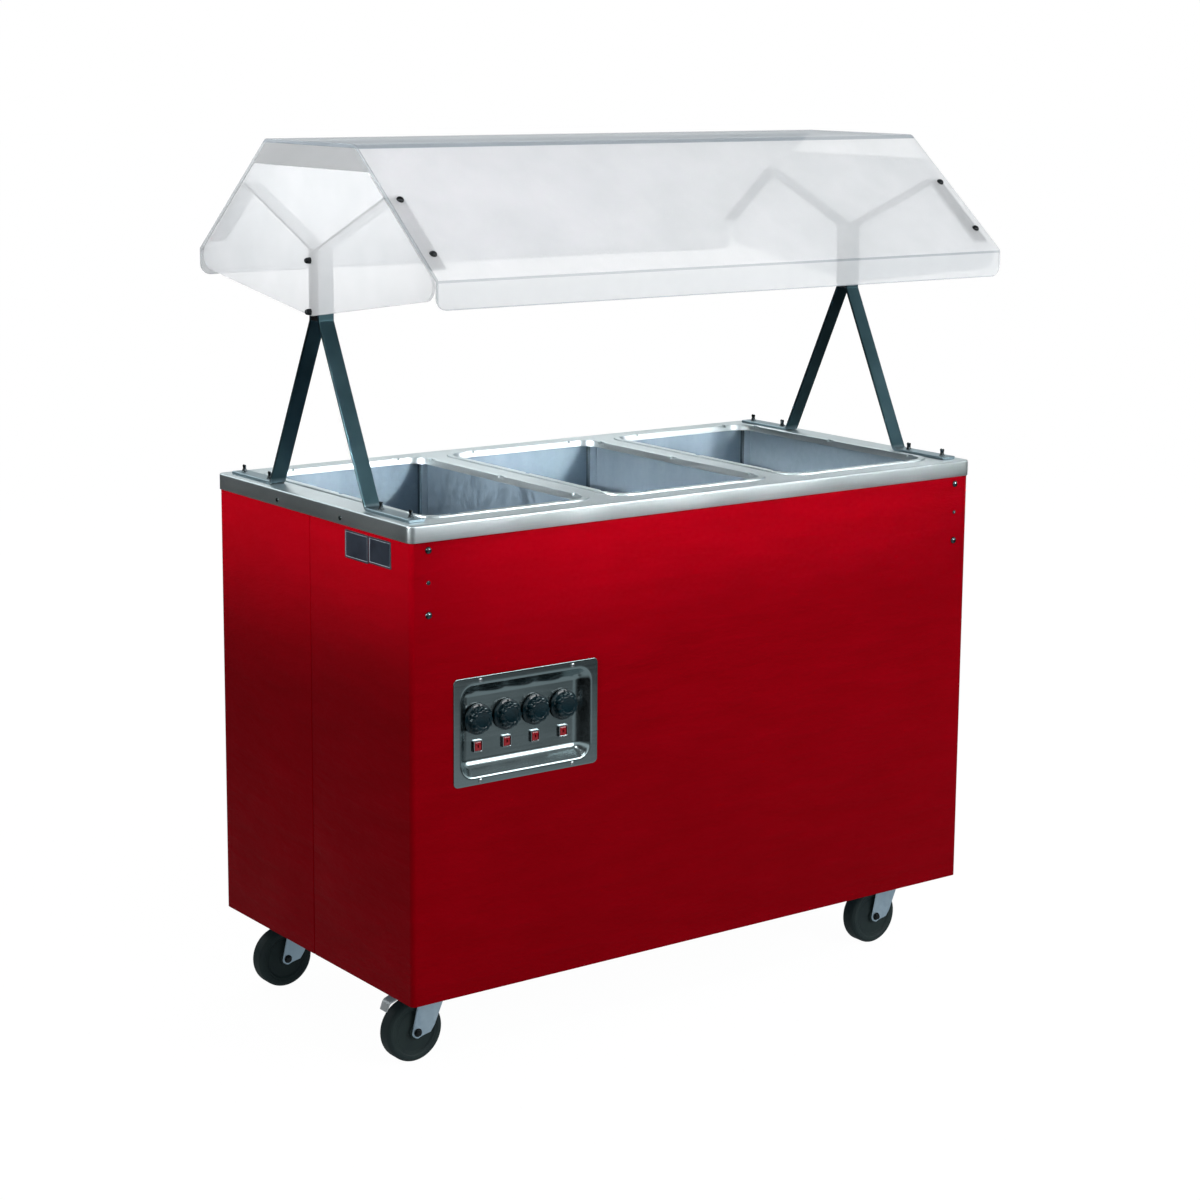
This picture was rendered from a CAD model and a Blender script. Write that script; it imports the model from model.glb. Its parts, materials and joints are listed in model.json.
# %% [markdown]
# # A portable hot food station
#
# The real object is a steel cabinet clad in red, on four swivel casters, with a stainless counter
# that holds three heated wells and a clear guard over them. The measured solids come first, as a
# fixed frame. Each piece below is then drawn as a surface that stands in the place of its solid.

# %% Load the measured frame
import json
import bmesh
import bpy
import numpy as np
from mathutils import Matrix


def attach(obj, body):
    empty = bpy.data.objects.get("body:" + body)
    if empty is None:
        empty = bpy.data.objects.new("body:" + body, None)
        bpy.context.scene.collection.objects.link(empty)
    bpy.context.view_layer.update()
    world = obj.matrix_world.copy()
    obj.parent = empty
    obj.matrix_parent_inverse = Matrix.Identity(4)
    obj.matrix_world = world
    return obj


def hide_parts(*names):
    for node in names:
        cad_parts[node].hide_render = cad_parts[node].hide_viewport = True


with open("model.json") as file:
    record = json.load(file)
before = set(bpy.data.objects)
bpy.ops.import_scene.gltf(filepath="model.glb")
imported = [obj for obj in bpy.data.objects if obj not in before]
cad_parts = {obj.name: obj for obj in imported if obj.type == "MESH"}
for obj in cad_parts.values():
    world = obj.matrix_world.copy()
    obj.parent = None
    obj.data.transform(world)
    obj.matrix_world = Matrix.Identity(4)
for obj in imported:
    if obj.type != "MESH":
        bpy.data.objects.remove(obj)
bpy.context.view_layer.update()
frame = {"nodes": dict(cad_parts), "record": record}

node = frame["nodes"]

# %% [markdown]
# ## Camera
#
# A product photographer uses a long lens and slides it a little upwards, so that upright edges stay
# upright. The camera below has that lens. Its place was worked out from points of the object that
# can be found in the photograph, such as the corners of the counter and the bends of the guard.

# %% Camera
MM = 0.001
yaw, pitch, roll = np.radians([36.41, -9.94, 0.44])
ahead = np.array([np.sin(yaw) * np.cos(pitch), np.cos(yaw) * np.cos(pitch), np.sin(pitch)])
level = np.array([np.cos(yaw), -np.sin(yaw), 0.0])
upright = np.cross(level, ahead)
to_right = level * np.cos(roll) + upright * np.sin(roll)
to_top = upright * np.cos(roll) - level * np.sin(roll)
lens = bpy.data.cameras.new("camera")
lens.lens, lens.sensor_width = 2602.34 / 1200 * 36, 36
lens.shift_x, lens.shift_y = -2.14 / 1200, -96 / 1200
lens.clip_end = 100
camera = bpy.data.objects.new("camera", lens)
bpy.context.scene.collection.objects.link(camera)
turn = np.eye(4)
turn[:3, :3] = np.stack([to_right, to_top, -ahead], 1)
turn[:3, 3] = np.array([-2636.62, -3575.4, 1601.07]) * MM
camera.matrix_world = Matrix(turn.tolist())
bpy.context.scene.camera = camera
print("lens", round(lens.lens, 1), "mm")

# %% [markdown]
# ## Drawing with paths and outlines
#
# Sheet metal is mostly one idea: a flat outline or a bent path that is carried somewhere. So a few
# small functions are enough for nearly every piece. A path's corners become arcs, as a brake press
# makes them, and a path can be moved sideways to give a sheet its other face.

# %% Paths
def unit(v):
    """Each vector divided by its length."""
    return v / np.maximum(np.linalg.norm(v, axis=-1, keepdims=True), 1e-12)


def bent(path, radius, steps=6, closed=False):
    """A path whose corners become arcs. The arc at a corner starts radius * tan(turn / 2) before it,
    its middle lies one radius to the inner side, and it sweeps through the whole turn."""
    p = np.asarray(path, float)
    before, after = np.roll(p, 1, 0), np.roll(p, -1, 0)
    if not closed:
        before[0], after[-1] = 2 * p[0] - p[1], 2 * p[-1] - p[-2]
    u, v = unit(p - before), unit(after - p)
    turns = np.arctan2(u[:, 0] * v[:, 1] - u[:, 1] * v[:, 0], (u * v).sum(1))
    r = np.broadcast_to(np.asarray(radius, float), len(p))[:, None]
    start = p - u * r * np.tan(abs(turns) / 2)[:, None]
    middle = start + np.sign(turns)[:, None] * r * np.stack([-u[:, 1], u[:, 0]], 1)
    a = turns[:, None] * np.linspace(0, 1, steps + 1)
    x, y = (start - middle).T[:, :, None]
    arcs = np.stack([x * np.cos(a) - y * np.sin(a), x * np.sin(a) + y * np.cos(a)], -1)
    points = (middle[:, None] + arcs).reshape(-1, 2)
    keep = np.linalg.norm(points - np.roll(points, 1, 0), axis=1) > 1e-6
    keep[0] = keep[0] or not closed
    return points[keep]


def moved(path, by, closed=False):
    """A path moved to its left: each point goes along the mean of its two sides' left-hand
    directions, as far as keeps the distance to both sides."""
    p = np.asarray(path, float)
    before, after = np.roll(p, 1, 0), np.roll(p, -1, 0)
    if not closed:
        before[0], after[-1] = 2 * p[0] - p[1], 2 * p[-1] - p[-2]
    a, b = unit(p - before), unit(after - p)
    a, b = np.stack([-a[:, 1], a[:, 0]], 1), np.stack([-b[:, 1], b[:, 0]], 1)
    m = unit(a + b)
    return p + m * (by / np.maximum((m * a).sum(1), 0.2)[:, None])


print(len(bent([(0, 0), (10, 0), (10, 10)], [0, 3, 0])), "points in a path with one bend")

# %% [markdown]
# ## Rings
#
# A pan, a plate and a rim are all rounded rectangles that change from level to level. If every ring
# has the same number of points, a stack of rings is a grid, and a grid is easy to join with faces.

# %% Rings
EVEN = np.array([0.0, 1.0])


def column(v):
    """Numbers as a column, one per row of a grid."""
    return np.atleast_1d(np.asarray(v, float))[:, None]


def rings(x0, x1, y0, y1, r, along=EVEN, across=EVEN, bend=8):
    """One rounded rectangle per row. Each side is straight between its two corners, with points at
    the given fractions of it, and each corner is a quarter of a circle. The radius r is one number,
    one per row, or four in a row of their own."""
    x0, x1, y0, y1 = column(x0), column(x1), column(y0), column(y1)
    r = np.maximum(np.atleast_2d(np.asarray(r, float).T).T, 0)
    r = np.broadcast_to(r, (max(len(r), len(x0)), 4))
    a, b, c, d = [r[:, k:k + 1] for k in range(4)]
    s, t = along[None], across[None]
    w = np.linspace(0, np.pi / 2, bend + 1)[None]
    sin, cos, full = np.sin(w), np.cos(w), np.ones_like
    xs = [x0 + a + (x1 - b - x0 - a) * s, x1 - b + b * sin, x1 * full(t), x1 - c + c * cos,
          x1 - c + (x0 + d - x1 + c) * s, x0 + d - d * sin, x0 * full(t), x0 + a - a * cos]
    ys = [y0 * full(s), y0 + b - b * cos, y0 + b + (y1 - c - y0 - b) * t, y1 - c + c * sin,
          y1 * full(s), y1 - d + d * cos, y1 - d + (y0 + a - y1 + d) * t, y0 + a - a * sin]
    rows = max(len(x0), len(r))
    x, y = [np.concatenate([np.broadcast_to(part, (rows, part.shape[1])) for part in parts], 1)
            for parts in (xs, ys)]
    return np.stack([x, y], -1)


def stacked(flat, heights):
    """Rows of a flat drawing lifted to their heights, one height per row."""
    z = np.broadcast_to(np.asarray(heights, float)[:, None], flat.shape[:2])
    return np.concatenate([flat, z[..., None]], -1)


def grown(length, width, r, grow):
    """The four sides and the corner radius of a rectangle that is larger by grow all round."""
    g = np.asarray(grow, float)
    return -length / 2 - g, length / 2 + g, -width / 2 - g, width / 2 + g, r + g


print(rings(*grown(310, 508, 30, [0.0, 11.0])).shape, "rows, points and coordinates")

# %% [markdown]
# ## From grids to pieces
#
# A piece may be one grid or several that meet. Its points are merged where they coincide, which also
# closes the seams, and then its faces are turned outwards. Edges sharper than a set angle stay crisp.

# %% Pieces
def quads(rows, cols, first, joined):
    """Faces of a grid: each joins a point, the next one in its row, and the two under them."""
    r, c = np.meshgrid(np.arange(rows - 1), np.arange(cols if joined else cols - 1), indexing="ij")
    n = (c + 1) % cols
    return first + np.stack([r * cols + c, r * cols + n, (r + 1) * cols + n, (r + 1) * cols + c],
                            -1).reshape(-1, 4)


def piece(name, grids, slot, stands_for=None, body="station", finish=None, joined=True, crisp=32):
    """Makes one object from grids of points in millimetres. It gets the finish of its slot, unless
    another is named, it rides on a body, and it takes the place of the solid that it stands for."""
    grids = grids if isinstance(grids, list) else [grids]
    points, faces, first = [], [], 0
    for grid, loops in zip(grids, joined if isinstance(joined, list) else [joined] * len(grids)):
        points.append(grid.reshape(-1, 3))
        faces.append(quads(grid.shape[0], grid.shape[1], first, loops))
        first += grid.shape[0] * grid.shape[1]
    mesh = bpy.data.meshes.new(name)
    mesh.from_pydata(np.concatenate(points) * MM, [], np.concatenate(faces).tolist())
    form = bmesh.new()
    form.from_mesh(mesh)
    bmesh.ops.remove_doubles(form, verts=form.verts, dist=2e-6)
    bmesh.ops.recalc_face_normals(form, faces=form.faces)
    open_edges = sum(1 for e in form.edges if len(e.link_faces) != 2)
    form.to_mesh(mesh)
    form.free()
    mesh.shade_smooth()
    mesh.set_sharp_from_angle(angle=np.radians(crisp))
    mesh.materials.append(FINISHES[finish or slot])
    made = bpy.data.objects.new(name, mesh)
    bpy.context.scene.collection.objects.link(made)
    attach(made, body)
    if stands_for:
        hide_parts(stands_for)
    note = f", {open_edges} edges that aren't between two faces" if open_edges else ""
    print(f"{name}: {len(mesh.polygons)} faces{note}")


def capped(grid):
    """A grid with a row gathered to one point before its first row and after its last one."""
    ends = [np.broadcast_to(row.mean(0), row.shape)[None] for row in (grid[0], grid[-1])]
    return np.concatenate([ends[0], grid, ends[1]])


def placed(grid, at, x=(1, 0, 0), y=(0, 1, 0), z=(0, 0, 1)):
    """A grid drawn at the origin, put at a point with its three directions along those given."""
    return np.asarray(at, float) + grid @ np.array([x, y, z], float)


FRONT = dict(x=(1, 0, 0), y=(0, 0, 1), z=(0, -1, 0))
REAR = dict(x=(-1, 0, 0), y=(0, 0, 1), z=(0, 1, 0))
LEFT = dict(x=(0, -1, 0), y=(0, 0, 1), z=(-1, 0, 0))
RIGHT = dict(x=(0, 1, 0), y=(0, 0, 1), z=(1, 0, 0))
SIDES = (-1, 1)


def revolved(profile, steps=48, lobes=0, depth=0.0):
    """A profile of radius and height turned round Z. Where depth isn't zero, the radius shrinks by
    depth times a rounded wave with that many lobes, for a grip."""
    p = np.asarray(profile, float)
    a = np.linspace(0, 2 * np.pi, steps, endpoint=False)
    deep = np.broadcast_to(np.asarray(depth, float), len(p))[:, None]
    r = p[:, :1] - deep * (0.5 - 0.5 * np.cos(lobes * a))[None]
    return np.stack([r * np.cos(a), r * np.sin(a), np.broadcast_to(p[:, 1:], r.shape)], -1)


def hexagon(profile, lower=0.0):
    """A profile carried round six flats and lowered: the radius is the one across the corners."""
    return revolved(np.asarray(profile, float) - [0, lower], 6)


def rod(r, first, last, steps=16):
    """A closed round rod along Z, from one height to another."""
    return revolved([(0, first), (r, first), (r, last), (0, last)], steps)

# %% [markdown]
# ## Shader sums in plain Python
#
# Blender draws a material as a graph of nodes. Written out one by one such graphs are hard to read,
# so a small class lets a node's output be added, multiplied and compared like a number. A second
# class holds the graph and adds the nodes that have no sign of their own. Each finished material is
# filed under its name, so that a piece can ask for it.

# %% Shader sums
FINISHES = {}


def sign(operation, turned=False):
    """The method of one sign: it adds the Math node that works the sign out."""
    def method(a, b):
        return a.finish.sum_of(operation, *((b, a) if turned else (a, b)))
    return method


class Socket:
    """One output of a node. Signs between it and numbers or other outputs add Math nodes."""

    def __init__(self, finish, output):
        self.finish, self.output = finish, output

    def __abs__(self):
        return self.finish.sum_of("ABSOLUTE", self)

    __add__, __radd__ = sign("ADD"), sign("ADD", True)
    __sub__, __rsub__ = sign("SUBTRACT"), sign("SUBTRACT", True)
    __mul__, __rmul__ = sign("MULTIPLY"), sign("MULTIPLY", True)
    __truediv__, __rtruediv__ = sign("DIVIDE"), sign("DIVIDE", True)
    __gt__, __lt__ = sign("GREATER_THAN"), sign("LESS_THAN")


class Finish:
    """A material under way, or the world. node() adds any node, the rest are short ways to some."""

    def __init__(self, name, world=None):
        self.name, self.made = name, world or bpy.data.materials.new(name)
        self.made.use_nodes = True
        self.tree = self.made.node_tree
        self.tree.nodes.clear()
        self.place = self.node("TexCoord", out="Generated" if world else "Object")

    def node(self, kind, values=None, out=0, **settings):
        """Adds a node: first its settings, then the value or the link of each socket."""
        made = self.tree.nodes.new("ShaderNode" + kind)
        for key, value in settings.items():
            setattr(made, key, value)
        for key, value in (values or {}).items():
            if isinstance(value, Socket):
                self.tree.links.new(value.output, made.inputs[key])
            else:
                made.inputs[key].default_value = value
        return Socket(self, made.outputs[out])

    def along(self, axis):
        """The place along one axis: a coordinate in metres, or for the world a part of the direction."""
        return self.node("SeparateXYZ", {"Vector": self.place}, axis)

    def ray(self, kind):
        """1 where the ray that meets this surface is of a kind, such as the camera's, and else 0."""
        return self.node("LightPath", out=f"Is {kind} Ray")

    def noise(self, scale, stretch=(1, 1, 1), detail=3.0, rough=0.55):
        """Cloudy noise from 0 to 1, with so many waves in a metre, and fewer where stretch is small."""
        place = self.node("Mapping", {"Vector": self.place, "Scale": stretch}, vector_type="POINT")
        return self.node("TexNoise", {"Vector": place, "Scale": scale, "Detail": detail,
                                      "Roughness": rough})

    def between(self, value, low, high, to_low=0.0, to_high=1.0):
        """The value moved from the range low to high into the other range, and held there."""
        return self.node("MapRange", {0: value, 1: low, 2: high, 3: to_low, 4: to_high}, clamp=True)

    def mix(self, amount, *pair):
        """Two colours mixed by an amount: each is a socket, or the code of a colour on a screen."""
        a, b = [c if isinstance(c, Socket) else (*srgb(c), 1) for c in pair]
        return self.node("Mix", {0: amount, 6: a, 7: b}, 2, data_type="RGBA")

    def sum_of(self, operation, *terms):
        """A Math node on numbers and sockets."""
        return self.node("Math", dict(enumerate(terms)), operation=operation)

    def bump(self, height, strength, distance):
        """A normal that follows a height in metres."""
        return self.node("Bump", {"Height": height, "Strength": strength, "Distance": distance})

    def shown(self, shader, kind="Material"):
        """Links a shader to the end of the tree and gives the finished material."""
        end = self.tree.nodes.new(f"ShaderNodeOutput{kind}")
        self.tree.links.new(shader.output, end.inputs["Surface"])
        return self.made

    def done(self, **sockets):
        """Ends the material with Blender's main shader, whose sockets get the given values, and files
        it under its name."""
        values = {key.replace("_", " "): value if not isinstance(value, tuple) else (*value, 1)
                  for key, value in sockets.items()}
        FINISHES[self.name] = self.shown(self.node("BsdfPrincipled", values))


def srgb(code):
    """A colour as a screen shows it, turned into the amounts of light that the shader uses."""
    c = np.array([int(code[k:k + 2], 16) for k in (0, 2, 4)]) / 255
    return tuple(np.where(c <= 0.04045, c / 12.92, ((c + 0.055) / 1.055) ** 2.4).tolist())


print("cabinet red is", np.round(srgb("8b000e"), 3))

# %% [markdown]
# ## Finish of the cabinet
#
# The cabinet's sheet is steel with a thin red film on it. The film isn't perfectly even: it has a
# fine grain, long shallow ripples where the sheet was rolled, and slightly duller and shinier
# patches. The ripples are far wider than the grain, so the two are separate noises in one bump.

# %% Red film on steel
f = Finish("red_clad")
ripple = f.noise(16.0, (0.45, 0.45, 2.0), 5.0, 0.6)
grain = f.noise(900.0, (0.5, 0.5, 1.0), 2.0)
patch = f.noise(5.0)
red = f.mix(f.between(ripple, 0.35, 0.68), "7a0009", "82000c")
red = f.mix(f.between(patch, 0.3, 0.7, 0.0, 0.5), red, "76000a")
f.done(Base_Color=red, Roughness=f.between(patch, 0.3, 0.7, 0.40, 0.52), Specular_IOR_Level=0.02,
       Specular_Tint=(1.0, 0.04, 0.06), Normal=f.bump(ripple * 3.0 + grain * 0.05, 0.6, 0.002))

# %% [markdown]
# ## Stainless steel, galvanised steel and zinc
#
# Stainless sheet is brushed: thousands of fine scratches run one way, so its reflection is drawn out
# across them. Galvanised sheet has large flat crystals instead, and zinc on pressed parts is bluish
# and a little cloudy. All three are metals, so the colour tints the reflection. The pans of the wells
# get dark lines at their folded corners and a stain, because steam and food dull them in use.

# %% Brushed steel
def brushed(name, colour, darker, rough, stretch, scale=260.0):
    """Stainless sheet whose scratches run along the axis with the smallest stretch."""
    f = Finish(name)
    lines = f.noise(scale, stretch, 4.0, 0.7)
    cloud = f.noise(7.0)
    tone = f.between(lines * 0.6 + cloud * 0.4, 0.32, 0.68)
    f.done(Base_Color=f.mix(tone, darker, colour), Metallic=1.0, Normal=f.bump(lines, 0.04, 0.0002),
           Roughness=f.between(lines * 0.5 + cloud * 0.5, 0.3, 0.7, rough - 0.05, rough + 0.07))


brushed("counter_steel", "c8d1d3", "bac4c7", 0.37, (0.03, 1.0, 1.0))
brushed("control_steel", "a9b8bb", "9aaaad", 0.2, (0.03, 1.0, 1.0))
brushed("screw_steel", "666d70", "555c5f", 0.16, (1, 1, 1), 400.0)
brushed("lamp_bezel", "d4d8da", "b8bec2", 0.18, (1, 1, 1), 300.0)

# %% Zinc
PITCH, PAN_X, PAN_Y = 367.0, 315.2, 513.2


def crystals(name, colour, darker, rough, size, depth, pans=False):
    """Zinc on steel: flat crystals of slightly different greys with a soft vertical streak. In the
    pans of the wells it is darker along the folded corners and stained towards the rear right one,
    most in the left well, with x measured from the middle of the nearest well. The right well has
    a newer, brighter wall."""
    f = Finish(name)
    flake = f.node("TexVoronoi", {"Vector": f.place, "Scale": size}, "Color", feature="F1")
    flake = f.node("SeparateColor", {"Color": flake})
    streak = f.noise(22.0, (1.0, 1.0, 0.12), 4.0)
    tone = f.mix(f.between(flake * 0.12 + streak * 0.88, 0.25, 0.75), darker, colour)
    if pans:
        x, y = f.along("X"), f.along("Y")
        used = f.between(x, -0.2, 0.2, 0.6, 0.12)
        tone = f.mix(f.between(x, 0.515, 0.524, 0.0, 0.8), tone, "b9ccd8")
        x = x - f.sum_of("ROUND", x / (PITCH * MM)) * (PITCH * MM)
        wall_x, wall_y = PAN_X / 2 * MM, PAN_Y / 2 * MM
        stain = f.between(x, -0.06, 0.157) * f.between(y, 0.02, wall_y) * used
        fold = f.between(abs(x), wall_x - 0.0056, wall_x - 0.0044)
        fold = fold * f.between(abs(y), wall_y - 0.0056, wall_y - 0.0044)
        tone = f.mix(stain, tone, "42535f")
        tone = f.mix(fold * 0.9, tone, "26343c")
    f.done(Base_Color=tone, Metallic=1.0, Normal=f.bump(streak * 2.0 + flake * 0.2, depth, 0.0004),
           Roughness=f.between(flake, 0.0, 1.0, rough - 0.06, rough + 0.08))


crystals("galvanised", "8fa0ad", "7e8f9c", 0.55, 120.0, 0.12, True)
crystals("zinc", "cfe0ec", "b0c6d7", 0.45, 260.0, 0.1)

# %% [markdown]
# ## Dark finishes
#
# The guard's bars have a dark bluish coat that is rubbed bare on their feet, the knobs are polished
# black plastic and the wheels are rubber, which is never quite black and scatters light. Each gets
# its own roughness, because at a distance that is what tells these three apart.

# %% Dark bars, knobs, rubber and plastics
def coated(name, colour, lighter, rough, scale, metallic=0.0, spread=0.08, height=0.0002, spec=0.5):
    """A dark even finish whose tone and gloss drift a little from place to place."""
    f = Finish(name)
    cloud = f.noise(scale, detail=4.0)
    fine = f.noise(scale * 22, detail=2.0)
    f.done(Base_Color=f.mix(f.between(cloud, 0.35, 0.7), colour, lighter), Metallic=metallic,
           Roughness=f.between(cloud, 0.3, 0.7, rough - spread, rough + spread),
           Specular_IOR_Level=spec, Normal=f.bump(fine, 0.2, height))


f = Finish("bar_dark")
cloud = f.noise(14.0, detail=4.0)
coat = f.mix(f.between(cloud, 0.35, 0.7), "3d565d", "48626a")
f.done(Base_Color=f.mix(f.between(f.along("Z"), 0.892, 0.90), "93a5ad", coat), Metallic=1.0,
       Roughness=f.between(cloud, 0.3, 0.7, 0.29, 0.39), Normal=f.bump(f.noise(300.0), 0.2, 0.0001))
coated("knob_black", "071a20", "0d242b", 0.13, 60.0, 0.0, 0.03, 0.00002, 0.5)
coated("switch_black", "17191b", "212426", 0.45, 40.0)
coated("screw_dark", "15181a", "22272a", 0.28, 60.0, 0.5)
coated("wheel_rubber", "1d2a2c", "22302f", 0.6, 30.0, 0.0, 0.06, 0.0003, 0.25)
coated("pedal_grey", "bcc1c3", "d0d4d6", 0.45, 60.0, 0.5)
coated("seam_dark", "160205", "1e0307", 0.7, 40.0, 0.0, 0.06, 0.0002, 0.1)
coated("element_black", "2b2a29", "3a3735", 0.5, 90.0, 0.3)

# %% [markdown]
# ## Clear sheet
#
# The guard is thick clear plastic. In the photograph it looks milky, because a bright room is
# mirrored in it and light scatters in its fine scratches. A ray crosses two faces of each sheet, so
# each face covers only half of what lies behind, and the bars still show through as pale shapes.

# %% Clear sheet
# Heights of the canopy's lips, shoulders and flat top, and half its length, in millimetres
LIP, SHOULDER, CANOPY_TOP, CANOPY_HALF = 1219.0, 1264.0, 1454.0, 575.0
# How far from the middle the lips, the edges of the flat top and the bars' pads lie, along Y
LIP_Y, FLAT_Y, PAD_Y = 370.0, 140.5, 219.0


def clear_sheet(name, folded):
    """Plastic that hides half of what lies behind it. Where it is folded, light is bent away at the
    fold lines and the cut edges, so these look darker, and the flat top is less scratched."""
    f = Finish(name)
    haze = f.noise(6.0)
    milky = f.mix(f.between(haze, 0.3, 0.7), "e9ebed", "f2f3f5")
    if folded:
        height, from_middle = f.along("Z"), abs(f.along("X"))
        fold, top = (SHOULDER - 4.4) * MM, (CANOPY_TOP - 7.2) * MM
        milky = f.mix((height < fold) * 0.6, milky, "cfd3d6")
        line = (height > fold) * (height < fold + 3.8 * MM) + (height < (LIP + 1.6) * MM)
        line = line + (from_middle > (CANOPY_HALF - 1.8) * MM)
        milky = f.mix(f.between(line, 0.0, 1.0, 0.0, 0.7), milky, "8f9aa0")
        milky = f.mix(f.between(height, top, top + MM), milky, "8f9ca6")
    f.done(Base_Color=milky, Alpha=f.between(haze, 0.3, 0.7, 0.48, 0.52), Roughness=0.32, IOR=1.49,
           Specular_IOR_Level=0.35)


clear_sheet("clear_sheet", False)
clear_sheet("clear_canopy", True)

# %% [markdown]
# ## Lamp lens, label plate and wool
#
# The lens is moulded plastic, deep red and glossy. The label plates are dark foil with a thin light
# line near their edge. Its distance is found from the larger of the distances to the plate's sides,
# which makes a neat rectangle. The insulation is matt wool with fibres that lie flat.

# %% Lamp lens, label plate and wool
f = Finish("lamp_lens")
glow = f.noise(240.0, detail=2.0)
f.done(Base_Color=f.mix(f.between(glow, 0.3, 0.7), "70060f", "9a0f1c"), Roughness=0.2,
       Coat_Weight=0.4, Normal=f.bump(glow, 0.3, 0.0003))

LABELS = ((-247.4, 66, 43), (-180.4, 70, 45))
LABEL_TOP = 856
f = Finish("label_plate")
sheen = f.noise(60.0)
y, z = f.along("Y"), f.along("Z")
rims = 0.0
for y0, w, h in LABELS:
    outwards = f.sum_of("MAXIMUM", abs(y - (y0 + w / 2) * MM) - w / 2 * MM,
                        abs(z - (LABEL_TOP - h / 2) * MM) - h / 2 * MM)
    rims = (outwards > -0.0034) * (outwards < -0.0026) + rims
field = f.mix(f.between(sheen, 0.3, 0.7), "20242c", "2c323c")
f.done(Base_Color=f.mix(rims, field, "8b939a"), Metallic=0.3,
       Roughness=f.between(sheen, 0.3, 0.7, 0.28, 0.42))

f = Finish("insulation")
fibre = f.noise(300.0, (1, 1, 0.3), 5.0)
f.done(Base_Color=f.mix(fibre, "a8925c", "d8c694"), Roughness=0.95, Normal=f.bump(fibre, 0.8, 0.002))
print(len(FINISHES), "finishes")

# %% [markdown]
# ## Solids that keep their shape
#
# Some solids are already the right shape, such as the posts and pans that are hidden inside. They
# stay, and only get the finish that the record names for them.

# %% Finishes on the solids
for part in frame["record"]["subparts"]:
    shown = node[part["node"]]
    shown.data.materials.clear()
    shown.data.materials.append(FINISHES[part["material_slot"]])

# %% [markdown]
# ## Counter
#
# The counter is one pressed sheet. Round each opening the sheet rises into a narrow bead and then
# turns down, and the bead is notched so that steam can't lock a pan in its place. Round the outside
# the sheet turns down into a skirt with a soft bend, which is what catches the long highlight. The
# surface runs from the lip of each opening over the bead and out to a cell, and the cells meet.

# %% Counter
TOP, DECK_UNDER, SKIRT = 889.0, 887.4, 862.0
OPENING = (310, 508, 30)
WELLS = (-PITCH, 0.0, PITCH)


def notched(middles, half, length):
    """Fractions along a side with two points at each end of every notch, one outside it and one
    inside, and a mask that says which points are inside."""
    m = np.asarray(middles, float)[:, None] / length + 0.5
    h = half / length
    t = np.concatenate([m - h, m - h, m + h, m + h], 1).ravel()
    inside = np.tile([0, 1, 1, 0], len(middles))
    return np.concatenate([[0], t, [1]]), np.concatenate([[0], inside, [0]])


along, in_x = notched([-105, 105], 8, 250)
across, in_y = notched([-214, 0, 214], 8, 448)
corner = np.zeros(9)
in_notch = np.concatenate([in_x, corner, in_y, corner, in_x, corner, in_y, corner])[:, None] > 0
lip = np.array([(0.4, 880.5), (-1.4, 880.5), (-2.0, 881), (0, 886.4)])
bead = bent([(0, 886.4), (0, 891.4), (11, 891.4), (11.5, 888.6), (12.8, 888.6), (13.2, TOP),
             (16, TOP)], [0, 1.4, 1.0, 0.4, 0.4, 0.4, 0], 4)
plain = np.concatenate([lip, bead])
cut = np.concatenate([lip, bead + [5, 0] * (bead[:, :1] < 2)])
counter_grids, cells = [], []
for k, x in enumerate(WELLS):
    flat = [rings(*grown(*OPENING, p[:, 0]), along, across) for p in (plain, cut)]
    flat = np.where(in_notch, flat[1], flat[0]) + [x, 0]
    edges = np.array([-581.0, -183.5, 183.5, 581.0])[k:k + 2]
    corners = [[9 * (k == 0), 9 * (k == 2), 9 * (k == 2), 9 * (k == 0)]]
    cell = rings(edges[0], edges[1], -302, 302, corners, along, across)
    cells.append(cell[0])
    counter_grids.append(np.concatenate([stacked(flat, plain[:, 1]), stacked(cell, [TOP])]))
    under = np.concatenate([cell, rings(*grown(*OPENING, [1.6]), along, across) + [x, 0]])
    counter_grids.append(np.concatenate([stacked(under, [DECK_UNDER, DECK_UNDER]),
                                         counter_grids[-1][:1]]))

# %% [markdown]
# The skirt starts from the outer side of those cells. Each point of that outline knows which way is
# out, so the whole skirt is the outline moved outwards by the first number of a profile and down by
# the second: over the bend, down to the raw edge, and up again inside.

# %% Skirt of the counter
n, m, b = len(along), len(across), 9
ends = np.cumsum([0, n, b, m, b, n, b, m, b])
front, fr, right, rr, rear, rl, left, fl = [slice(i, j) for i, j in zip(ends, ends[1:])]
A, B, C = cells
outline = np.concatenate([A[front], B[front], C[front], C[fr], C[right], C[rr], C[rear], B[rear],
                          A[rear], A[rl], A[left], A[fl]])
quarter = np.linspace(0, np.pi / 2, b)
heading = np.concatenate([k * np.pi / 2 + np.append(np.zeros(count), quarter)
                          for k, count in enumerate((3 * n, m, 3 * n, m))])
ways = np.stack([np.sin(heading), -np.cos(heading)], 1)
skirt = np.concatenate([bent([(0, TOP), (3, TOP), (3, SKIRT), (1.4, SKIRT)], [0, 3, 0.5, 0.5], 6),
                        bent([(1.4, SKIRT + 0.3), (1.4, DECK_UNDER), (0, DECK_UNDER)], [0, 1.2, 0], 4)])
skirt_grid = stacked(outline[None] + ways[None] * skirt[:, None, :1], skirt[:, 1])
piece("counter_sheet", counter_grids + [skirt_grid], "counter_steel", "countertop")

# %% [markdown]
# ## Cabinet
#
# Two red sheets make the cabinet. Each is bent round two upright corners, and the two meet in the
# middle of each end, where their edges turn inwards and leave a dark seam. A sheet is drawn as a
# thin section that is carried along the outline of the cabinet. Only the flat side with the cut-out
# is made another way: there a ring of points runs from the hole to the outer edges.

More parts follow.
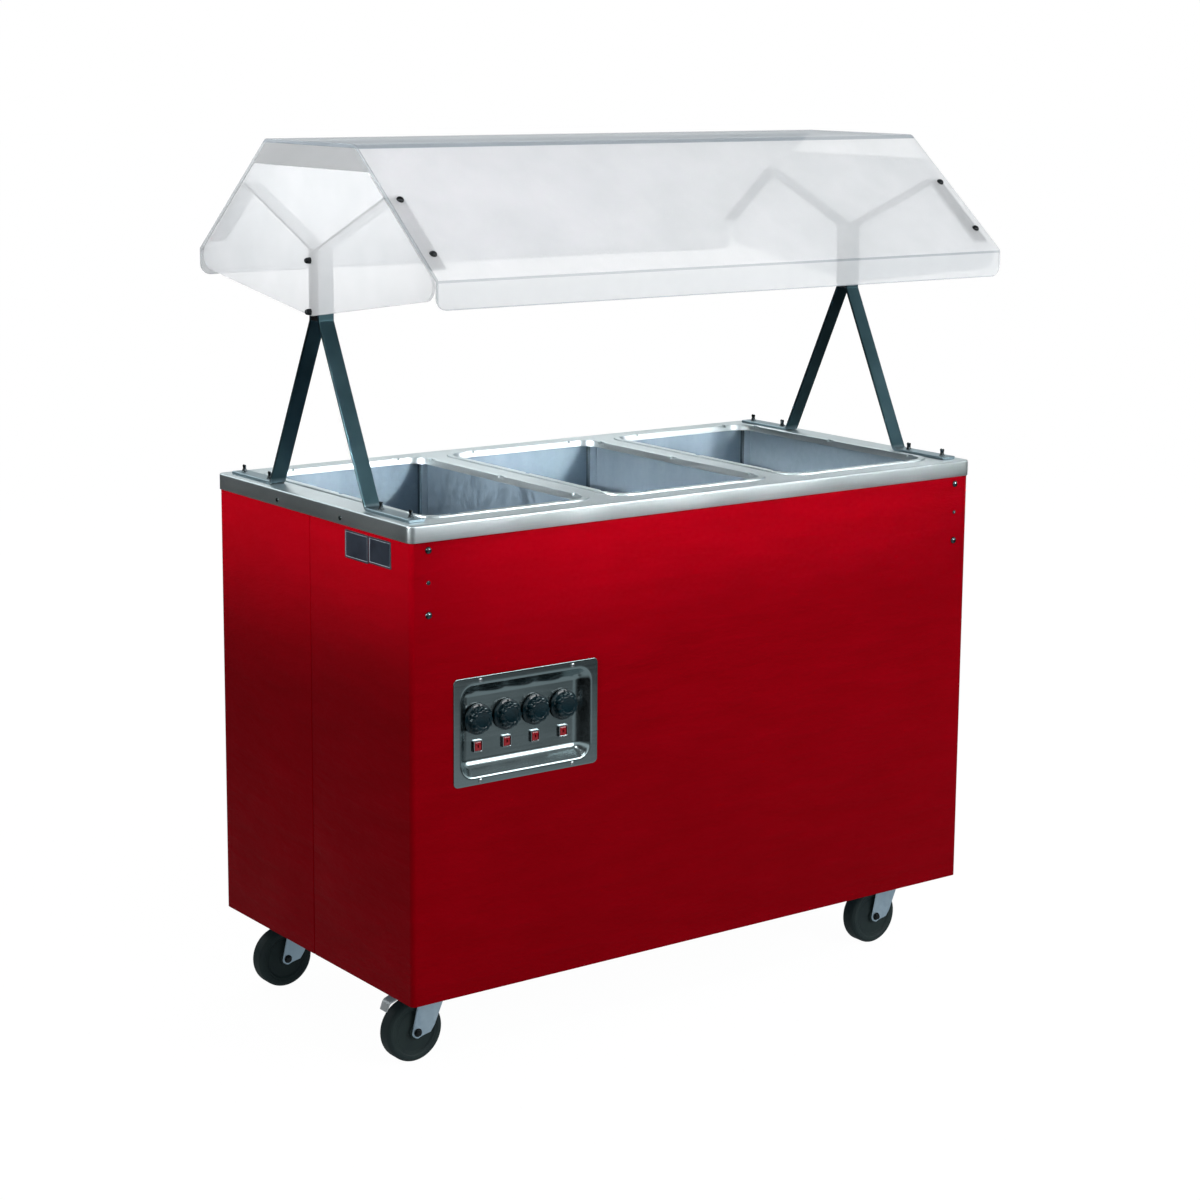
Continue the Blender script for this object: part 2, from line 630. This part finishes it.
# %% Cabinet
FOOT, SHEET, FACE, END = 126.0, 1.2, 302.4, 581.4
section = bent([(0, FOOT), (0, DECK_UNDER), (SHEET, DECK_UNDER), (SHEET, FOOT)], 0.35, 2, closed=True)
side_path = bent([(4 - END, -0.5), (-END, -0.5), (-END, -FACE), (-573, -FACE)], [0, 1.7, 8, 0], 8)


def cabinet_sheet(name, hole_at, hole_sides, turned):
    """Half of the cabinet: two bent sides, and between them a flat side with a rounded hole in it."""
    inward = moved(side_path, 1.0) - side_path
    flat = side_path[:, None] + inward[:, None] * section[None, :, :1]
    bend = capped(stacked(flat, 0 * side_path[:, 0]))[:-1]
    bend[1:, :, 2] = section[:, 1]
    bend[0, :, 2] = section[:, 1].mean()
    grids = [bend, bend * [-1, 1, 1]]
    low, high = section[:, 1].min() + 0.35, section[:, 1].max() - 0.35
    for depth in (0.0, SHEET):
        hole = rings(*hole_sides) + hole_at
        face = np.concatenate([hole, rings(-573, 573, low, high, 0)])
        grids.append(stacked(face, [0, 0])[..., [0, 2, 1]] + [0, depth - FACE, 0])
    grids.append(np.stack([grids[2][0], grids[3][0]]))
    for keep in (section[:, 1] > high - 0.01, section[:, 1] < low + 0.01):
        rim = section[keep]
        rim = rim[np.argsort(rim[:, 0] + 1e-3 * abs(rim[:, 1] - rim[:, 1].mean()))]
        line = np.stack([0 * rim[:, 0], rim[:, 0] - FACE, rim[:, 1]], 1)
        grids.append(np.stack([line + [x, 0, 0] for x in (-573, 573)]))
    grids = [g * [turned, turned, 1] for g in grids]
    piece(name, grids, "red_clad", name.replace("sheet", "panel"), joined=[True] * 5 + [False] * 2)


CONTROLS_X, CONTROLS_Z = -367.4, 553.5
cabinet_sheet("front_sheet", [CONTROLS_X, CONTROLS_Z], grown(248, 148, 24, [2.0]), 1)
cabinet_sheet("rear_sheet", [-431.4, 230.0], grown(19.8, 19.8, 9.9, [0.0]), -1)

# %% [markdown]
# Behind each seam lies a narrow strip that joins the two sheets from inside. It keeps light from
# shining through the gap, and no paint reaches it, so its dark finish makes the seam a dark line.

# %% Strips behind the seams
strips = []
for side in SIDES:
    low, high = sorted((side * (END - 4), side * (END - 5)))
    rows = rings([low + 0.2, low, low, low + 0.2], [high - 0.2, high, high, high - 0.2],
                 [-11.8, -12, -12, -11.8], [11.8, 12, 12, 11.8], 0.2, bend=2)
    strips.append(capped(stacked(rows, [FOOT + 1, FOOT + 1.2, DECK_UNDER - 1.2, DECK_UNDER - 1])))
piece("seam_strips", strips, "red_clad", finish="seam_dark")

# %% [markdown]
# ## Wells
#
# Each well is a deep pan of galvanised sheet, folded at its corners, where one wall laps over the
# next. It hangs under the opening by a turned-out flange. The profile runs from the middle of the
# floor up the wall, over the flange and back down outside, so the pan is a closed sheet.

# %% Wells
lap_at, lap_in = notched([-240, 240], 8, 503.2)
in_lap = np.concatenate([[0, 0], corner, lap_in, corner] * 2)[:, None] > 0
inner = bent([(-157.6, 723.6), (0, 723.6), (0, 887.4), (13.2, 887.4), (13.2, 886.2), (1.2, 886.2)],
             [0, 9, 3, 0.3, 0.3, 0], 5)
outer = bent([(1.2, 886.2), (1.2, 722.4), (-157.6, 722.4)], [0.5, 9, 0], 5)
pan = np.concatenate([inner, outer])
lapped = pan - [0.9, 0] * ((abs(pan[:, :1]) < 0.01) & (pan[:, 1:] > 725))
for name, x in zip(("left", "centre", "right"), WELLS):
    flat = [rings(*grown(PAN_X, PAN_Y, 5, p[:, 0]), EVEN, lap_at) for p in (pan, lapped)]
    grid = stacked(np.where(in_lap, flat[1], flat[0]) + [x, 0], pan[:, 1])
    piece(f"well_pan_{name}", grid, "galvanised", f"well_liner_{name}")

# %% [markdown]
# ## Control plate
#
# The knobs sit in a recess that is pressed into one stainless plate. The recess leans inwards and
# all its edges are soft, which is why the photograph shows a bright line along each of them. One
# profile describes it: floor, soft corner, wall, soft edge, and the flat border.

# %% Control plate
RECESS = (248, 148, 24)
press = bent([(-74, -18), (-16, -18), (0, 1.2), (6, 1.2)], [0, 18, 7, 0], 8)
edge = bent([(-3, 1.2), (0, 1.2), (0, 0), (-0.6, 0)], [0, 1.0, 0.1, 0], 5)
behind = moved(press, -1.2)[::-1]
behind[:, 0] = np.clip(behind[:, 0], -74, 6)
flat = np.concatenate([rings(*grown(*RECESS, press[:, 0])), rings(*grown(276, 174, 9, edge[:, 0])),
                       rings(*grown(*RECESS, behind[:, 0]))])
high = np.concatenate([press[:, 1], edge[:, 1], behind[:, 1]])
plate = placed(stacked(flat, high), (CONTROLS_X, -FACE, CONTROLS_Z), **FRONT)
piece("control_plate", plate, "control_steel", "control_panel")

# %% [markdown]
# ## Knobs and lamps
#
# A knob is a polished skirt with a fluted cap on it. Turning a profile gives the round form, and a
# wave round the cap takes out the finger grips. Under each knob is a square lamp: a bright bezel
# with a red lens in it.

# %% Knobs
KNOB_XS = CONTROLS_X + np.array([-81.75, -27.25, 27.25, 81.75])
knob_profile = np.concatenate([
    [(0, 4.0), (14, 4.0), (14, 0.3)],
    bent([(24.2, 0.0), (25, 1.0), (25, 3.4), (21.3, 4.6), (20.6, 6.4), (20.2, 13.6), (17.2, 17),
          (12.4, 16.9), (11.2, 15.9), (0, 15.9)], [0, 0.6, 0.8, 0.8, 0.8, 1.5, 2.2, 0.6, 0.6, 0], 3)])
grip = np.where((knob_profile[:, 0] > 13) & (knob_profile[:, 1] > 5.2), 1.9, 0.0)
for k, x in enumerate(KNOB_XS, 1):
    body = revolved(knob_profile, 96, 12, grip)
    pointer = rings([-0.1, -0.8, -1, -1], [0.1, 0.8, 1, 1], [19, 18.6, 18.4, 18.4],
                    [24, 24.2, 24.4, 24.4], 0.4)
    pointer = capped(stacked(pointer, [5.6, 5.6, 5.2, 3.0]))
    at = (x, 16.2 - FACE, CONTROLS_Z + 14)
    grids = [placed(g, at, **FRONT) for g in (body, pointer, rod(3, -34, 4.5, 24))]
    piece(f"knob_cap_{k}", grids, "knob_black", f"knob_{k}", f"knob_{k}", crisp=40)

# %% Lamps
frame_rows = np.array([(-7.4, 0.2), (-2.6, 0.2), (-2.6, 3.2), (-1.9, 4.0), (-0.6, 4.0), (0, 3.4),
                       (0, 0.0), (-7.4, 0.0)])
lens_rows = np.array([(-5.0, 0.3), (-0.1, 0.3), (-0.1, 2.6), (-0.9, 3.3), (-2.4, 3.6), (-5.0, 3.7)])
bezel = capped(stacked(rings(*grown(17.6, 19.6, 1.8, frame_rows[:, 0])), frame_rows[:, 1]))
lens = stacked(rings(*grown(12.6, 14.6, 1.2, lens_rows[:, 0])), lens_rows[:, 1])
bezels, lenses = [], []
for x in KNOB_XS:
    at = (x, 18 - FACE, CONTROLS_Z - 30)
    bezels += [placed(g, at, **FRONT) for g in (bezel, rod(5.5, 0.1, -19.2, 24))]
    lenses.append(placed(lens, at, **FRONT))
piece("lamp_bezels", bezels, "lamp_bezel", "pilot_light_bezels")
piece("lamp_lenses", lenses, "lamp_lens", "pilot_light_lenses")

# %% [markdown]
# ## Straps
#
# The guard's sheet, its bars, a caster's fork and a pedal are all flat stock that is bent along a
# path. A strap is drawn the same way each time: at every point of the path stands a thin rectangle,
# as wide as the stock there, and its two ends are closed.

# %% Straps
def strap(path, low, high, thin, thick, ease=0.6):
    """Flat stock carried along a path in the YZ plane. At each point the section runs along X from
    low to high, and from thin to thick to the path's left, with its four edges cut back by ease."""
    p = np.asarray(path, float)
    sideways = moved(p, 1.0) - p
    low, high, thin, thick = [np.broadcast_to(np.asarray(v, float), len(p))
                              for v in (low, high, thin, thick)]
    e = np.minimum(ease, (thick - thin) * 0.45)
    x = np.stack([low + e, low, low, low + e, high - e, high, high, high - e], 1)
    h = np.stack([thin, thin + e, thick - e, thick, thick, thick - e, thin + e, thin], 1)
    return capped(np.concatenate([x[..., None], p[:, None] + sideways[:, None] * h[..., None]], -1))


def eased(path, by=0.7):
    """A path with an extra point just inside each end, so that a strap's end can be cut back."""
    p = np.asarray(path, float)
    a, b = unit(p[1] - p[0]) * by, unit(p[-2] - p[-1]) * by
    return np.concatenate([p[:1], p[:1] + a, p[1:-1], p[-1:] + b, p[-1:]])


def thickness(path, low, high, by=0.7):
    """The two sides of a strap along an eased path: cut back at the first and the last point."""
    a, b = np.full(len(path), float(low)), np.full(len(path), float(high))
    a[[0, -1]] += by
    b[[0, -1]] -= by
    return a, b

# %% [markdown]
# ## Guard
#
# The canopy is one clear sheet with four bends, and its lips have rounded corners: near the lip the
# half length shrinks as the side of a circle does. The end panels are flat sheets with a shallow vee
# below.

# %% Canopy
low_part = LIP + 18 * (1 - np.cos(np.linspace(0.12, np.pi / 2, 9)))
profile = bent([(-LIP_Y, LIP), (-LIP_Y, SHOULDER), (-FLAT_Y, CANOPY_TOP), (FLAT_Y, CANOPY_TOP),
                (LIP_Y, SHOULDER), (LIP_Y, LIP)], [0, 8, 12, 12, 8, 0], 8)
left_lip = np.stack([np.full(9, -LIP_Y), low_part], 1)
right_lip = (left_lip * [-1, 1])[::-1]
profile = np.concatenate([profile[:1], left_lip, profile[1:-1], right_lip, profile[-1:]])
up = np.clip(LIP + 18 - profile[:, 1], 0, 18)
half = CANOPY_HALF - (18 - np.sqrt(18 ** 2 - up ** 2))
thin, thick = thickness(profile, -6, 0, 0.9)
piece("canopy_sheet", strap(profile, -half, half, thin, thick, 0.9), "clear_sheet", "guard_canopy",
      finish="clear_canopy")

# %% End panels
slope = np.arctan2(CANOPY_TOP - SHOULDER, LIP_Y - FLAT_Y)
lean = 8 / np.sin(slope)
low_z = SHOULDER - 26
u1 = FLAT_Y + 41 / np.tan(slope) - lean
u2 = FLAT_Y + (CANOPY_TOP - low_z) / np.tan(slope) - lean
vee = bent([(u1, CANOPY_TOP - 41), (-u1, CANOPY_TOP - 41), (-u2, low_z), (0, low_z - 58), (u2, low_z)],
           [4, 4, 24, 24, 24], 7, closed=True)
for side, name in ((-1, "left"), (1, "right")):
    inset = moved(vee, 0.8, closed=True)
    middle = np.broadcast_to(vee.mean(0), vee.shape)
    rows = [(middle, 0), (inset, 0), (vee, 0.8), (vee, 5.2), (inset, 6), (middle, 6)]
    grid = np.stack([np.concatenate([np.full((len(vee), 1), side * (CANOPY_HALF - x)), yz], 1)
                     for yz, x in rows])
    piece(f"end_sheet_{name}", grid, "clear_sheet", f"guard_end_{name}")

# %% [markdown]
# Each bar is bent five times: foot, leg, upright, branch and pad. The front bars are the rear bars
# mirrored in Y, and a spacer block sits between the uprights.

# %% Bars and spacers
GUARD_X = 555.0
pad_z = CANOPY_TOP - (PAD_Y - FLAT_Y) * np.tan(slope) - 8.5 / np.cos(slope)
bar_line = [(280, 891.5), (150, 891.5), (12.5, 1172), (12.5, 1287), (PAD_Y, pad_z),
            (PAD_Y + 158 * np.cos(slope), pad_z - 158 * np.sin(slope))]
bar_path = eased(bent(bar_line, [0, 7.5, 7.5, 7.5, 7.5, 0], 6))
thin, thick = thickness(bar_path, -2.5, 2.5)
for side, end in ((-1, "left"), (1, "right")):
    low, high = side * GUARD_X - 14.0, side * GUARD_X + 14.0
    for flip, row in ((-1, "front"), (1, "rear")):
        bar = strap(bar_path, low, high, thin, thick, 0.7) * [1, flip, 1]
        piece(f"bar_{row}_{end}", bar, "bar_dark", f"guard_strut_{row}_{end}")
    e = np.array([0.6, 0, 0, 0.6])
    outline = rings(low + e, high - e, -10 + e, 10 - e, 0.8, bend=3)
    block = capped(stacked(outline, [1172, 1172.6, 1286.4, 1287]))
    piece(f"spacer_block_{end}", block, "zinc", f"guard_spacer_{end}", finish="lamp_bezel")

# %% [markdown]
# ## Casters
#
# A swivel caster has a plate with a race under it, a pressed fork that turns in the race, an axle
# and a rubber wheel. The fork's legs taper to a small round end behind the axle and have a knee in
# front of it, and the edges of the pressing are rolled a little outwards.

# %% Caster profiles
AXLE_X, AXLE_Z = -35.0, 51.0


def leg_sides(z):
    """Front and back of the fork's leg at each height: the back edge runs from the crown to a round
    end at the axle, the front edge from the crown to a knee and along the knee to the round end."""
    r, back_top, front_top = 10.0, (-30.0, 117.7), (24.0, 117.7)
    knee = np.array([AXLE_X + 25.0, AXLE_Z - 4.0])
    drop = np.clip(AXLE_Z - z, 0, r)
    circle = np.sqrt(np.maximum(r ** 2 - drop ** 2, 0))
    slant = np.interp(z, [AXLE_Z, back_top[1]], [AXLE_X - r, back_top[0]])
    back = np.where(z > AXLE_Z, slant, AXLE_X - circle)
    front = np.interp(z, [AXLE_Z - r, knee[1] - 2.5, knee[1], knee[1] + 10, front_top[1]],
                      [AXLE_X + 2, knee[0] - 14, knee[0], knee[0] + 7.5, front_top[0]])
    return np.minimum(back, front - 0.2), front


heights = np.concatenate([AXLE_Z - 10 * np.cos(np.linspace(0, np.pi / 2, 9)), np.linspace(54, 112, 14)])
half_fork = np.stack([np.full(len(heights), 20.0), heights], 1)
crown = bent([(20, 112), (20, 119.2), (-20, 119.2), (-20, 112)], [0, 4.5, 4.5, 0], 6)
crown_y = np.linspace(15, -15, 15)
crown = np.concatenate([crown[crown[:, 0] > 15.2], np.stack([crown_y, np.full(15, 119.2)], 1),
                        crown[crown[:, 0] < -15.2]])
fork_path = np.concatenate([half_fork, crown[1:-1], (half_fork * [-1, 1])[::-1]])
fork_back, fork_front = leg_sides(fork_path[:, 1])
on_crown = fork_path[:, 1] > 118.5
round_front = np.sqrt(np.maximum(30 ** 2 - fork_path[:, 0] ** 2, 0))
fork_front = np.where(on_crown, np.maximum(24, round_front), fork_front)
fork_back = np.where(on_crown, -30, fork_back)

tyre = bent([(4.05, -18.2), (12, -18.2), (12, -12.6), (33.5, -11.6), (36.5, -14.6), (38.5, -14.6),
             (41, -16), (46.2, -16), (51, -11), (51, 11), (46.2, 16), (41, 16), (38.5, 14.6),
             (36.5, 14.6), (33.5, 11.6), (12, 12.6), (12, 18.2), (4.05, 18.2)],
            [0, 0.8, 2, 1.5, 1, 1, 0.8, 4, 4.6, 4.6, 4, 0.8, 1, 1, 1.5, 2, 0.8, 0], 4)
tyre = np.concatenate([tyre, tyre[:1]])
fork = strap(fork_path, fork_back, fork_front, -1.5, 1.5, 1.3)
hex_head = hexagon([(0, 4.5), (4.6, 4.5), (5.4, 4.0), (5.7, 3.4), (5.7, 0.4), (5.5, 0), (0, 0)])
washer = revolved([(4, 0), (7, 0), (7, 0.9), (4, 0.9), (4, 0)], 32)
top_plate = capped(stacked(rings(*grown(92, 66, 8, [-0.6, 0, 0, -0.6])), [127, 127.6, 129.4, 130]))
race = revolved([(0, 127.5), (21.5, 127.5), (25, 127.2), (25, 124.6), (24.2, 123.6), (22.6, 123.2),
                 (22.0, 121.6), (20.5, 121), (0, 121)], 48)
kingpin = revolved([(0, 113.1), (7.5, 113.1), (9, 113.7), (9, 116.6), (8.4, 117.2), (6, 117.4),
                    (6, 129), (0, 129)], 32)

# %% Casters
def caster(name, x, y, braked):
    """One caster, with the swivel's axis at x, y. The plate stays with the station, the fork and the
    axle turn with the swivel, and the wheel turns on the axle."""
    swivel = f"swivel_{name}"
    grids = [placed(g, (x, y, 0)) for g in (top_plate, race, kingpin)]
    piece(f"top_plate_{name}", grids, "zinc", f"caster_plate_{name}")
    grids = [placed(fork, (x, y, 0))]
    if braked:
        grids.append(placed(rod(2.5, -21.6, 21.6, 20), (x - 24, y, 108), **FRONT))
    piece(f"fork_{name}", grids, "zinc", f"caster_fork_{name}", swivel)
    centre = np.array([x + AXLE_X, y, AXLE_Z])
    grids = [placed(rod(4, -27, 27, 24), centre, **FRONT)]
    for face in (FRONT, REAR):
        head_at = centre + np.array(face["z"]) * 21.5
        grids += [placed(g, head_at, **face) for g in (hex_head, washer)]
    piece(f"axle_{name}", grids, "zinc", f"caster_axle_{name}", swivel, "screw_dark")
    piece(f"tyre_{name}", placed(revolved(tyre, 96), centre, **FRONT), "wheel_rubber",
          f"caster_wheel_{name}", f"wheel_{name}")


pedal_path = eased(bent([(-24, 112), (-60, 113), (-80, 106), (-86, 92)], [0, 30, 9, 0], 8))
pedal_thin, pedal_thick = thickness(pedal_path, -1.4, 1.4)
pedal_half = 12 - 2.5 * np.clip((-74 - pedal_path[:, 0]) / 12, 0, 1)


def pedal(name, x, y):
    """A curved tab that presses on the wheel's brake: a strap along X, with an eye round its pin."""
    tab = strap(pedal_path, -pedal_half, pedal_half, pedal_thin, pedal_thick)[..., [1, 0, 2]]
    eye = revolved([(2.8, -12), (4.4, -12), (4.4, 12), (2.8, 12), (2.8, -12)], 24)
    piece(f"pedal_tab_{name}", [placed(tab, (x, y, 0)), placed(eye, (x - 24, y, 108), **FRONT)],
          "pedal_grey", f"brake_pedal_{name}", f"pedal_{name}")


CASTER_X, CASTER_Y = 491.4, 208.4
for name, side in (("fl", -1), ("fr", 1)):
    pedal(name, side * CASTER_X, -CASTER_Y)
for name, x, y in (("fl", -1, -1), ("fr", 1, -1), ("rl", -1, 1), ("rr", 1, 1)):
    caster(name, x * CASTER_X, y * CASTER_Y, y < 0)

# %% [markdown]
# ## Screws
#
# A dome screw is a shallow cap turned round its axis, with a cross-shaped recess pressed into it: the
# height drops where a point lies close to either arm of the cross. Wing screws hold the bars' feet.

# %% Dome screws
def dome(r, h, recess=True, full=1.0):
    """A cap whose height is h * cos(a) ** full at the radius r * sin(a) ** full, less a cross-shaped
    recess. A full below 1 gives a cap with upright sides and a rounder shoulder."""
    a = np.linspace(np.pi / 2, 0, 11)
    grid = revolved(np.stack([r * np.sin(a) ** full, h * np.cos(a).clip(0) ** full], 1), 32)
    if recess:
        x, y = grid[..., 0], grid[..., 1]
        arm = np.minimum(abs(x), abs(y)) < r * 0.12
        near = np.hypot(x, y) < r * 0.55
        grid[..., 2] -= h * 0.45 * (arm & near)
    foot = revolved([(0, -0.2), (r, -0.2)], 32)
    return np.concatenate([foot, grid])


def row_of(name, sites, slot, stands_for, finish=None, shank=8.0):
    """One object with a dome screw and its shank at every site: place, face, radius, height."""
    grids = []
    for at, face, r, h in sites:
        head = dome(r, h, r < 5, full=1.0 if h < r else 0.6)
        grids += [placed(g, at, **face) for g in (head, rod(2.4, -0.1, -shank))]
    piece(name, grids, slot, stands_for, finish=finish, crisp=45)


sites = [((s * 549.4, t * FACE, z), FRONT if t < 0 else REAR, *size) for s in SIDES for t in SIDES
         for z, size in ((849, (6.0, 4.0)), (798.5, (3.6, 2.4)), (748, (6.0, 4.0)))]
row_of("corner_dome_screws", sites, "screw_steel", "panel_screws")
sites = [((CONTROLS_X + s * 88, -FACE - 1.2, CONTROLS_Z + t * 80.5), FRONT, 4.0, 2.0)
         for s in SIDES for t in SIDES]
row_of("plate_dome_screws", sites, "screw_steel", "control_panel_screws", "lamp_bezel")
sites = [((s * 584, y, 872), LEFT if s < 0 else RIGHT, 4.0, 2.0) for s in SIDES for y in (-100, 100)]
row_of("skirt_dome_screws", sites, "screw_steel", "skirt_screws")
sites = [((s * CANOPY_HALF, 0, z), LEFT if s < 0 else RIGHT, 5.2, 9.4)
         for s in SIDES for z in (1187, 1268)]
row_of("end_dome_screws", sites, "screw_dark", "end_panel_screws", shank=20.0)

# %% Screws of the canopy and the spacers
cos, sin = np.cos(slope), np.sin(slope)
nut = [(0, 0), (4.3, 0), (4.6, 0.4), (4.6, 2.8), (4.3, 3.2), (0, 3.2)]
grids = []
for s in SIDES:
    for t in SIDES:
        for d in (23.0, 141.0):
            u = PAD_Y + d * cos
            at = (s * GUARD_X, t * u, CANOPY_TOP - (u - FLAT_Y) * np.tan(slope))
            face = dict(x=(1, 0, 0), y=(0, -t * cos, sin), z=(0, t * sin, cos))
            screw = (dome(6.2, 4.8, False), rod(2.4, 0, -16), hexagon(nut, 14.2))
            grids += [placed(g, at, **face) for g in screw]
piece("canopy_dome_screws", grids, "screw_dark", "canopy_screws", crisp=45)
grids = []
for s in SIDES:
    for z in (1192, 1254):
        screw = (dome(4.0, 2.0), rod(2.4, 0, -34), hexagon(nut, 33.2))
        grids += [placed(g, (s * GUARD_X, -15, z), **FRONT) for g in screw]
piece("spacer_dome_screws", grids, "screw_dark", "spacer_screws", crisp=45)

# %% Wing screws
wing = bent([(-3.2, 3), (3.2, 3), (4.4, 11.5), (1.9, 13.0), (0, 9.5), (-1.9, 13.0), (-4.4, 11.5)],
            [0.8, 0.8, 1.2, 1.0, 1.2, 1.0, 1.2], 4, closed=True)
middle = np.broadcast_to([0, 5.6], wing.shape)
rows = [(middle, -1.5), (wing, -1.1), (wing, 1.1), (middle, 1.5)]
tab = np.stack([np.stack([np.full(len(wing), x), w[:, 0], w[:, 1]], 1) for w, x in rows])
collar = revolved([(0, 0), (5, 0), (5, 1.0), (3.8, 1.6), (3.4, 4.6), (2.6, 5.2), (0, 5.2)], 24)
screw = (tab - [0, 0, 0.6], collar, rod(2.4, 0, -11.6), hexagon(nut, 9.8))
sites = [(s * GUARD_X, t * y, TOP + 5) for s in SIDES for t in SIDES for y in (176, 262)]
piece("foot_wings", [placed(g, at) for at in sites for g in screw], "screw_dark", "foot_wing_screws",
      finish="screw_steel", crisp=35)

# %% [markdown]
# ## Small plates
#
# The two plates on the left end carry the maker's data on a real station. Here they are bare: a dark
# field with a thin lighter frame line, which the finish draws from the distance to the plate's edge.

# %% Label plates
grids = []
for y0, w, h in LABELS:
    plate = capped(stacked(rings(*grown(w, h, 2.0, [-3.2, -2.9, -0.3, 0, 0])), [0.35, 0.6, 0.6, 0.3, 0]))
    grids.append(placed(plate, (-END, y0 + w / 2, LABEL_TOP - h / 2), **LEFT))
piece("bare_label_plates", grids, "label_plate", "rating_plates")

# %% [markdown]
# ## Floor, light and background
#
# The photograph is a cut-out on white. The floor and the room are white wherever the camera or a
# see-through sheet looks at them, and only there. In a mirror image they are a dim studio: bright
# behind and to the right, dark in front except for a band above the horizon, with one window high
# up behind and one lit patch of floor. Steel has little colour of its own, so this is what gives it
# light and dark sides. The light on the object is soft: a large lamp in front, one above and one
# behind. Four narrow strips of light brighten the top of the two red sides, the left end of the
# guard and the inside of the wells.

# %% Floor
floor_mesh = bpy.data.meshes.new("floor")
floor_mesh.from_pydata([(-40, -40, 0), (40, -40, 0), (40, 40, 0), (-40, 40, 0)], [], [(0, 1, 2, 3)])
floor = bpy.data.objects.new("floor", floor_mesh)
bpy.context.scene.collection.objects.link(floor)
f = Finish("floor_white")
seen = f.between(f.ray("Camera") * 0.95 + f.ray("Transmission") * 0.95, 0.0, 1.0)
away = abs(f.along("X")) + abs(f.along("Y")) * 0.35
lit = f.between(away, 1.05, 1.95, 0.36, 0.03) * f.between(f.along("X"), -1.2, -0.6)
matt = f.node("BsdfDiffuse", {"Color": (0.8, 0.8, 0.8, 1)})
bright = f.node("Emission", {"Color": (1, 1, 1, 1), "Strength": 1.03})
pool = f.node("Emission", {"Color": (0.88, 0.97, 1, 1), "Strength": lit})
both = f.node("MixShader", {0: seen, 1: matt, 2: bright})
both = f.node("MixShader", {0: f.ray("Glossy"), 1: both, 2: pool})
floor_mesh.materials.append(f.shown(both))

# %% Room
world = bpy.data.worlds.new("room")
bpy.context.scene.world = world
room = Finish("room", world)
rightwards, rearwards, upwards = room.along("X"), room.along("Y"), room.along("Z")
dim = room.node("Background", {"Color": (0.95, 0.98, 1, 1),
                                     "Strength": room.between(upwards, 0, 1, 0.80, 0.42)})
band = room.between(upwards, 0.03, 0.10) * room.between(upwards, 0.42, 0.54, 1.0, 0.0)
band = band * room.between(rearwards, -0.5, -0.3, 1.0, 0.0)
window = room.between(rearwards, 0.55, 0.7) * room.between(upwards, 0.3, 0.45)
window = window * room.between(rightwards, -0.6, -0.4) * room.between(rightwards, 0.0, 0.15, 1.0, 0.0)
wall = room.between(rightwards * 0.8 + rearwards * 0.32, 0.0, 0.72, 0.04, 0.46)
glimpse = room.node("Background", {"Color": (0.9, 0.98, 1, 1),
                                         "Strength": band * 0.7 + window * 2.6 + wall})
white = room.node("Background", {"Color": (1, 1, 1, 1), "Strength": 1.0})
seen = room.between(room.ray("Camera") + room.ray("Transmission"), 0.0, 1.0)
both = room.node("MixShader", {0: room.ray("Glossy"), 1: dim, 2: glimpse})
room.shown(room.node("MixShader", {0: seen, 1: both, 2: white}), "World")

# %% Lamps of the studio
def softbox(name, at, aim, size, watts, spread=180, colour=(1, 1, 1)):
    """A lamp of a width and a height at a place, turned so that it shines towards another."""
    data = bpy.data.lights.new(name, "AREA")
    data.shape, data.size, data.size_y = "RECTANGLE", *size
    data.energy, data.color, data.spread = watts, colour, np.radians(spread)
    lamp = bpy.data.objects.new(name, data)
    bpy.context.scene.collection.objects.link(lamp)
    away = unit(np.array(at, float) - np.array(aim, float))
    side = unit(np.cross((0, 0, 1), away))
    turn = np.eye(4)
    turn[:3, :3] = np.stack([side, np.cross(away, side), away], 1)
    turn[:3, 3] = at
    lamp.matrix_world = Matrix(turn.tolist())


softbox("front_box", (1.5, -3.5, 1.9), (-0.1, -0.2, 0.75), (2.1, 1.5), 58)
softbox("front_strip", (0.77, -2.9, 1.75), (0.12, -0.3, 0.95), (1.1, 0.14), 1.15, 10.5)
softbox("left_strip", (-3.1, -0.3, 1.8), (-0.58, 0.0, 0.875), (1.4, 0.14), 1.85, 10.6)
softbox("well_strip", (-3.3, -0.4, 1.72), (-0.58, 0.0, 1.02), (1.0, 0.05), 0.95, 4.4)
softbox("left_box", (-3.2, -0.4, 2.0), (-0.58, 0.0, 1.40), (0.8, 0.3), 1.0, 14)
softbox("back_box", (1.9, 2.75, 3.05), (0.4, 0.0, 0.9), (2.8, 0.8), 30)
softbox("top_box", (-0.4, -2.6, 3.4), (-0.1, -0.3, 0.8), (0.9, 0.5), 22)
bpy.context.scene.view_settings.view_transform = "Standard"
